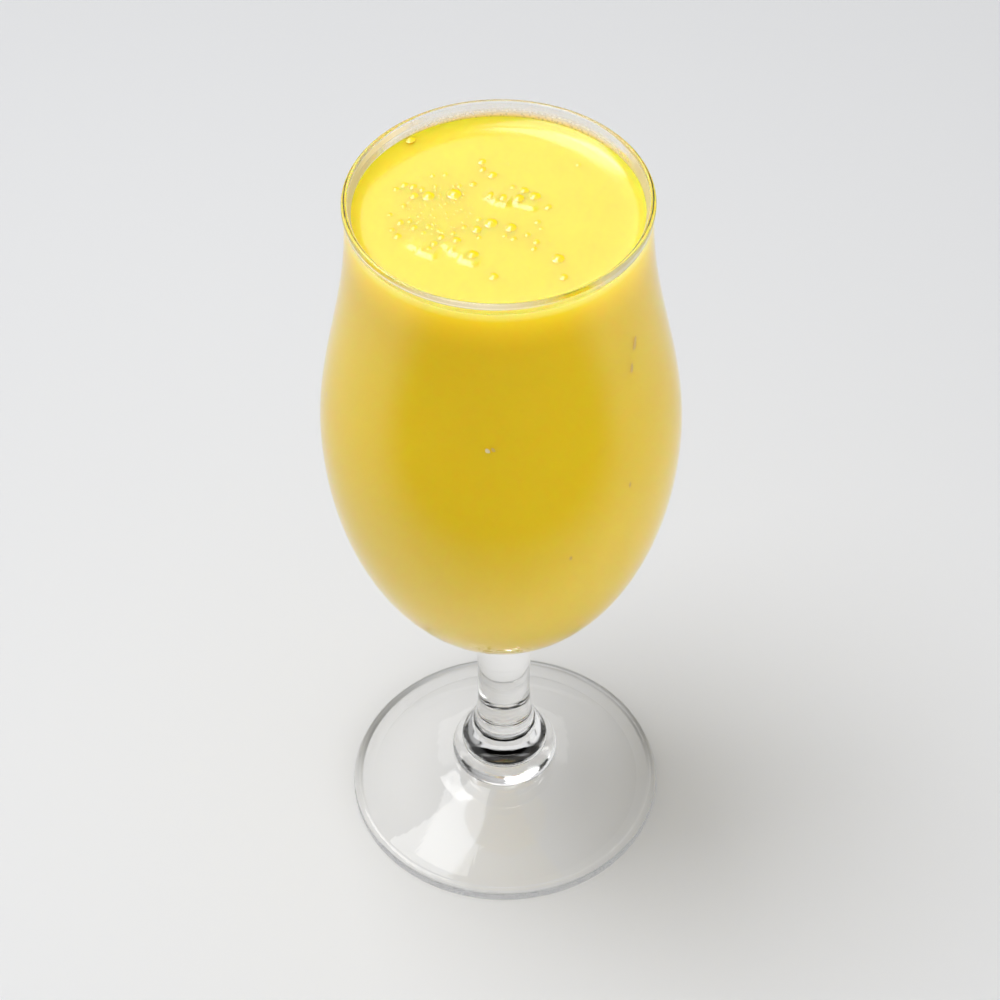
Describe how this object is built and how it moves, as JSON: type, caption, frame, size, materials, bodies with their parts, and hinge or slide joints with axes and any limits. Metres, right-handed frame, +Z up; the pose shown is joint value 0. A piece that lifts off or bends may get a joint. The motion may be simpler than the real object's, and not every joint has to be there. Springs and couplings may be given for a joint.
{
  "type": "mango lassi in a stemmed tulip glass",
  "caption": "Thick yellow mango yogurt drink filling a clear stemmed tulip glass almost to the rim, with small bubbles on top and a round foot to stand on.",
  "frame": {"origin": "centre of the foot, on the plane that the glass stands on", "axes": "+Z up along the axis of the stem and bowl; the picture looks along +Y, with +X to its right"},
  "size_m": [0.075, 0.075, 0.18],
  "materials": {
    "clear_glass": "clear, fire-polished soda-lime glass",
    "mango_lassi": "smooth wet surface of a thick opaque drink"
  },
  "bodies": {
    "root": {"glass": "clear_glass", "lassi": "mango_lassi"}
  },
  "joints": []
}
